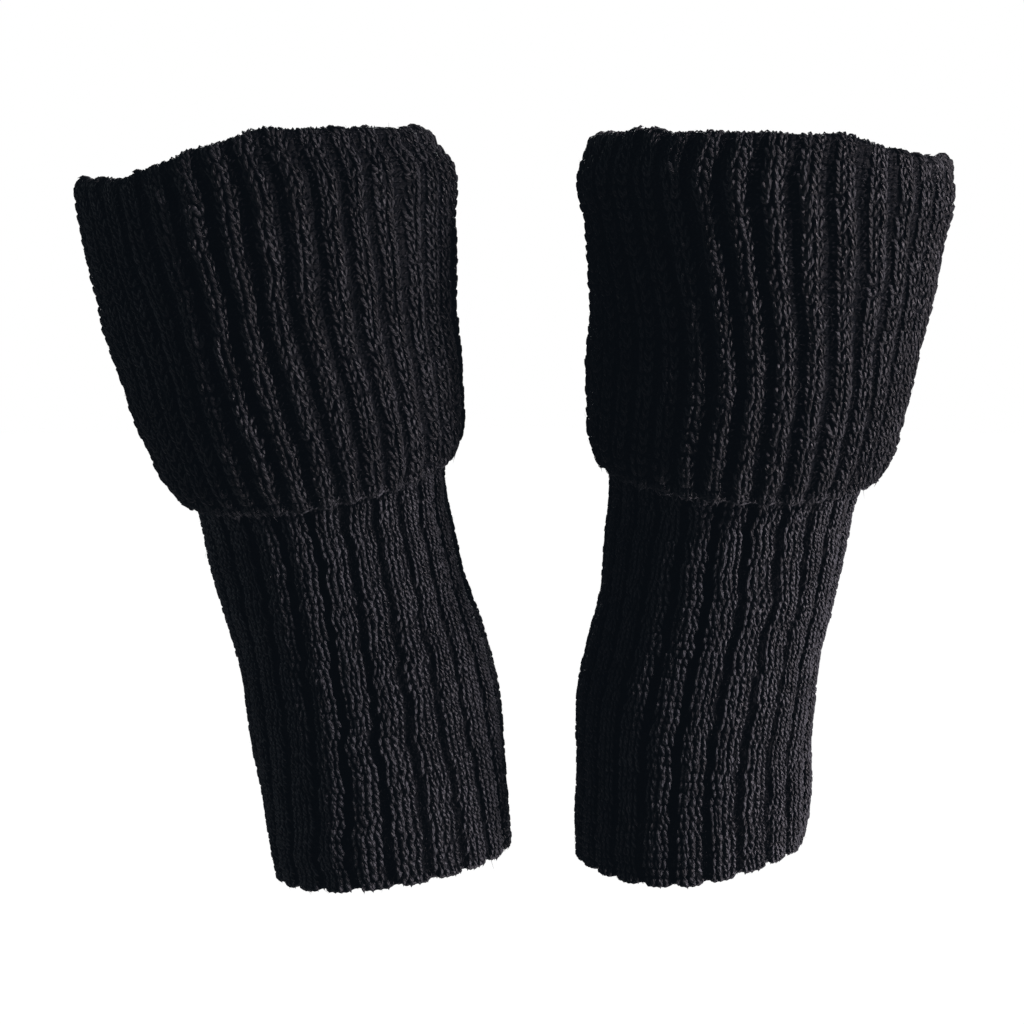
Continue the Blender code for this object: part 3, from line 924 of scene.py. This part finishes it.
# %% Stitches of the leg and the cuff
LEG_KNIT = Columns((-0.225, -0.01, 0.205), 0.22)
LEG_PURL = Columns((0.42, 0.5, 0.58), 0.13)
LINING_KNIT = Columns((0.33, 0.5, 0.67), 0.2)
CUFF_KNIT = Columns((-0.16, 0.16), 0.32)
CUFF_PURL = Columns((0.4, 0.6), 0.2)
TUCKED = 7  # mm that the leg's stitches go on up under the cuff
CUFF_FIRST = 2.5  # mm from the join inside up to the cuff's first stitches
CREST_SINK = 0.4  # mm that the cuff's Vs sink on the crest
CREST_REACH = 6  # mm either way from it, over which they come up again
PURL_SINK = 0.3  # mm that the cuff's arches lie deeper, inside and on the crest
PURL_RISE = 0.8  # mm that they come up on the way down outside
PURL_RISE_RUN = 14  # mm along which they do so
LINING_SHOWS = (98, 24)  # mm of the inside that show: below the fold, and above the hem
LEG_LAST = 1.5  # mm from the hem up to the last V's middle
CUFF_LAST = 1.8
PURL_LAST = 1.2


def rounds(first, last, height):
    """The heights of the rounds of stitches, counted back from the last one, from the top down."""
    return np.arange(last, first, -height)[::-1, None]


def places(warmer):
    """A warmer's side and seed; its faces, as functions of run, even and depth alone; how far below the
    fold the cuff's edge and the hem lie; and the cuff's edge as a run."""
    def bound(face):
        return lambda run, even, depth: face(warmer, run, even, depth)
    faces = [bound(face) for face in (leg_face, leg_back, cuff_face)]
    downs = warmer.cuff[-1].down, warmer.leg[-1].down
    return warmer.side, warmer.seed, *faces, *downs, cuff_end(warmer)


STITCHES = {}
for side, seed, leg, lining, cuff, edge, hem, end in map(places, WARMERS):
    leg_rounds = rounds(edge - TUCKED, hem - LEG_LAST, LEG_ROUND)
    leg_bumps = rounds(edge - TUCKED, hem - PURL_LAST, LEG_ROUND / 2)
    cuff_rounds = rounds(-RETURN_RUN + CUFF_FIRST, end - CUFF_LAST, CUFF_ROUND)
    cuff_bumps = rounds(-RETURN_RUN + CUFF_FIRST, end - PURL_LAST, CUFF_ROUND / 2)
    knit_depth = YARN_DEPTH + CREST_SINK * np.exp(-((cuff_rounds / CREST_REACH) ** 2))
    purl_depth = YARN_DEPTH + PURL_SINK - PURL_RISE * np.clip(cuff_bumps / PURL_RISE_RUN, 0, 1)
    lining_rounds = np.concatenate([rounds(RETURN_DEPTH + 2, LINING_SHOWS[0], LEG_ROUND),
                                    rounds(hem - LINING_SHOWS[1], hem - LEG_LAST, LEG_ROUND)])
    # Painted light and shade: the leg's Vs get a lighter tone range than the cuff's, for the stronger light
    # on the leg, and its arches in the furrows a darker one than the cuff's, for the shade there.
    STITCHES[side, "leg"] = [
        lay(f"{side}_leg_knit_stitches", leg, leg_rounds, *columns(LEG_RIB, LEG_KNIT),
            LEG_V, YARN, "leg_knit", seed, tones=(0.3, 2.2)),
        lay(f"{side}_leg_purl_stitches", leg, leg_bumps, *columns(LEG_RIB, LEG_PURL),
            ARCH, SHADED_FURROW_YARN, "leg_knit", seed + 1, YARN_DEPTH - 0.2, PURL_HAND, (0.0, 0.7)),
        lay(f"{side}_lining_stitches", lining, lining_rounds, *columns(LEG_RIB, LINING_KNIT),
            PLAIN_V, YARN, "leg_knit", seed + 7),
    ]
    # Painted shade: the cuff's Vs get a darker tone range than the leg's.
    STITCHES[side, "cuff"] = [
        lay(f"{side}_cuff_knit_stitches", cuff, cuff_rounds, *columns(CUFF_RIB, CUFF_KNIT),
            CUFF_V, YARN, "cuff_knit", seed + 2, knit_depth, tones=(0.0, 0.8)),
        lay(f"{side}_cuff_purl_stitches", cuff, cuff_bumps, *columns(CUFF_RIB, CUFF_PURL),
            ARCH, SHADED_FURROW_YARN, "cuff_knit", seed + 3, purl_depth, PURL_HAND, (0.0, 1.3)),
    ]

# %% [markdown]
# ## Edges
#
# Casting on and binding off both leave a chain along the edge of a knit.  From outside it looks like a thin
# rope of two strands that passes one column at each turn.  So it is made as a rope: a ring whose
# cross-section is not quite round, and turns as it goes.  The hem has one on each face of the cloth, which
# together hide its thickness.

# %% Ropes along the cuff's edge and the hem
STEPS_PER_WALE = 4
ROPE_STEPS = WALES * STEPS_PER_WALE
ROPE_SIDES = 6


def rope(name, face, run, depth, radius, seed, tone):
    """A ring along an edge.  At the angle a round its own section it lies radius (1 + 0.25 cos(2 a - WALES
    even)) from its middle, times a slow random swell."""
    rng = np.random.default_rng(seed)
    even = np.arange(ROPE_STEPS) * TURN / ROPE_STEPS
    middle, axes, _, _ = stitch_frames(face, run, even, depth)
    a = (np.arange(ROPE_SIDES) * TURN / ROPE_SIDES)[None, :]
    swells = rng.normal(size=WALES + 1).clip(-2, 2)
    swell = 1 + 0.2 * np.interp(even, np.arange(WALES + 1) * TURN / WALES, swells)
    wide = radius * (1 + 0.25 * np.cos(2 * a - WALES * even[:, None])) * swell[:, None] * MM
    way = np.cos(a)[..., None] * axes[:, None, 2] - np.sin(a)[..., None] * axes[:, None, 1]
    points = middle[:, None] + wide[..., None] * way
    corners, along, round_ = ring_grid(ROPE_STEPS, ROPE_SIDES)
    uv = np.stack([along * PLY_LENGTH / STEPS_PER_WALE, round_ * 2 / ROPE_SIDES], axis=-1)
    tones = np.full(points.shape[0] * ROPE_SIDES, tone)
    return make_piece(name, points.reshape(-1, 3), corners, uv, tones, YARN)


for side, seed, leg, lining, cuff, _, hem, end in map(places, WARMERS):
    STITCHES[side, "leg"] += [
        rope(f"{side}_hem_rope", leg, hem - 0.1, 0.9, 0.55, seed + 4, 0.8),
        rope(f"{side}_hem_rope_inside", lining, hem - 0.1, 0.9, 0.55, seed + 6, 0.8),
    ]
    # Painted highlight: the rope along the cuff's edge gets tone 1.4, lighter than the cuff's stitches, for
    # the light that catches the edge.
    STITCHES[side, "cuff"].append(
        rope(f"{side}_cuff_edge_rope", cuff, end, 0.6, 0.5, seed + 5, 1.4))

# %% [markdown]
# ## Fuzz
#
# Spun yarn is hairy.  Fine fibres stand off it every which way, blur each edge against the light and make
# the knit look soft rather than plaited.  A fibre is a spindle a tenth of a millimetre thick, laid like a
# stitch but at random places and angles, and most densely along the cuff's edge, which is rubbed most.

# %% Loose fibres
FIBRES = 3600  # on a leg, and as many on a cuff
TUFTS = 1100
FIBRE_PITCH = STITCH_WIDTH / 50  # radians: a fibre has its drawn length on a leg 50 mm from its middle
FIBRE_DEPTH = 0.2
FIBRE_TONES = (0.7, 1.6)


def fuzz(name, face, first, last, count, fibre, slot, seed):
    """A piece of fibres at random heights between first and last, all round."""
    rng = np.random.default_rng(seed)
    run = rng.uniform(first, last, (count, 1))
    even = rng.uniform(0, TURN, (count, 1))
    return lay(name, face, run, even, FIBRE_PITCH, fibre, YARN, slot, seed,
               FIBRE_DEPTH, FUZZ_HAND, FIBRE_TONES)


for side, seed, leg, _, cuff, edge, hem, end in map(places, WARMERS):
    STITCHES[side, "leg"].append(
        fuzz(f"{side}_leg_fuzz", leg, edge, hem, FIBRES, FIBRE, "leg_knit", seed + 8))
    STITCHES[side, "cuff"] += [
        fuzz(f"{side}_cuff_fuzz", cuff, 4, end, FIBRES, FIBRE, "cuff_knit", seed + 9),
        fuzz(f"{side}_cuff_edge_tufts", cuff, end - 1.9, end + 0.1, TUFTS, TUFT, "cuff_knit", seed + 10),
    ]

# %% [markdown]
# ## Worked to size
#
# A knitted tube is not cut but worked to size: so many columns round, so many rounds long.  On the wearer
# the leg is stretched, and the cuff is folded and rests on it.

# %% [markdown]
# ## Studio
#
# A near and fairly small key light on the right rakes over the ribs and draws each loop, and a weaker one
# low beside it lights the ribs under the cuff.  A large one behind lines the crest, and a faint one on the
# left and a breath of light all round keep the dark side from going dead.  Floor and background are white
# to the camera only: if they were as white to the yarn, their reflection would turn black yarn grey.

# %% Floor, light and camera
def seen_by_camera(tree):
    """1 where the camera looks straight at it, 0 for light on its way between surfaces."""
    return add_node(tree, "ShaderNodeLightPath", {}).outputs["Is Camera Ray"]


def floor(radius, height):
    """A round floor: the points radius cos(angle), radius sin(angle) of one flat face."""
    mesh = bpy.data.meshes.new("floor")
    angle = np.arange(64) * TURN / 64
    ring = np.stack([np.cos(angle) * radius, np.sin(angle) * radius, np.full(64, height)], axis=-1)
    mesh.from_pydata(ring.tolist(), [], [list(range(64))])
    material, tree, shader = new_material("pale_floor")
    shader.inputs["Base Color"].default_value = (0.4, 0.4, 0.4, 1.0)
    shader.inputs["Roughness"].default_value = 1.0
    shader.inputs["Emission Color"].default_value = (1.0, 1.0, 1.0, 1.0)
    tree.links.new(seen_by_camera(tree), shader.inputs["Emission Strength"])
    mesh.materials.append(material)
    piece = bpy.data.objects.new("floor", mesh)
    bpy.context.collection.objects.link(piece)


def soft_light(name, place, aim, size, power, colour):
    """A round lamp, tipped from straight down to its aim by the angle whose tangent is across over down."""
    data = bpy.data.lights.new(name, "AREA")
    data.shape = "DISK"
    data.size = size
    data.energy = power
    data.color = colour
    lamp = bpy.data.objects.new(name, data)
    lamp.location = place
    way = np.array(aim) - np.array(place)
    across = math.hypot(way[0], way[1])
    lamp.rotation_euler = (math.atan2(across, -way[2]), 0.0, math.atan2(way[1], way[0]) - math.pi / 2)
    bpy.context.collection.objects.link(lamp)


def white_room(ambient):
    """White to the camera, and a faint ambient light to everything else."""
    world = bpy.data.worlds.new("white_room")
    bpy.context.scene.world = world
    world.use_nodes = True
    tree = world.node_tree
    colour = blend(tree, seen_by_camera(tree), ambient, (1.0, 1.0, 1.0, 1.0))
    tree.links.new(colour, tree.nodes["Background"].inputs["Color"])


MIDDLE = (0.0, 0.0, -0.08)  # of the pair, where most lights aim
ROSE = (1.0, 0.87, 0.93)
LOOK_DOWN = 6.67  # degrees below level
VEIL = (-0.0024, -0.0034, -0.0049)  # a lens's own haze lifts black by this much, more in blue

floor(radius=12, height=-0.9)
white_room((0.014, 0.018, 0.022, 1.0))
soft_light("key_light", (0.72, -0.37, 0.28), MIDDLE, 0.2, 6.8, ROSE)
soft_light("side_light", (0.45, -0.14, -0.36), (0.1, 0.0, -0.12), 0.2, 1.4, ROSE)
soft_light("left_light", (-0.9, -0.2, 0.15), MIDDLE, 0.4, 0.5, (0.9, 0.97, 1.0))
soft_light("back_light", (0.0, 1.3, 0.45), MIDDLE, 0.8, 12.0, (0.95, 0.98, 1.0))

camera_data = bpy.data.cameras.new("camera")
camera_data.lens = 64.17
camera_data.sensor_width = 36.0
camera = bpy.data.objects.new("camera", camera_data)
camera.location = (0.0, -0.70, 0.0)
camera.rotation_euler = (math.radians(90 - LOOK_DOWN), 0.0, 0.0)
bpy.context.collection.objects.link(camera)
bpy.context.scene.camera = camera
view = bpy.context.scene.view_settings
view.view_transform = "Standard"
view.use_curve_mapping = True
view.curve_mapping.black_level = VEIL
view.curve_mapping.update()
print("camera", round(-camera.location.y, 3), "m in front, looking down by", LOOK_DOWN, "degrees")
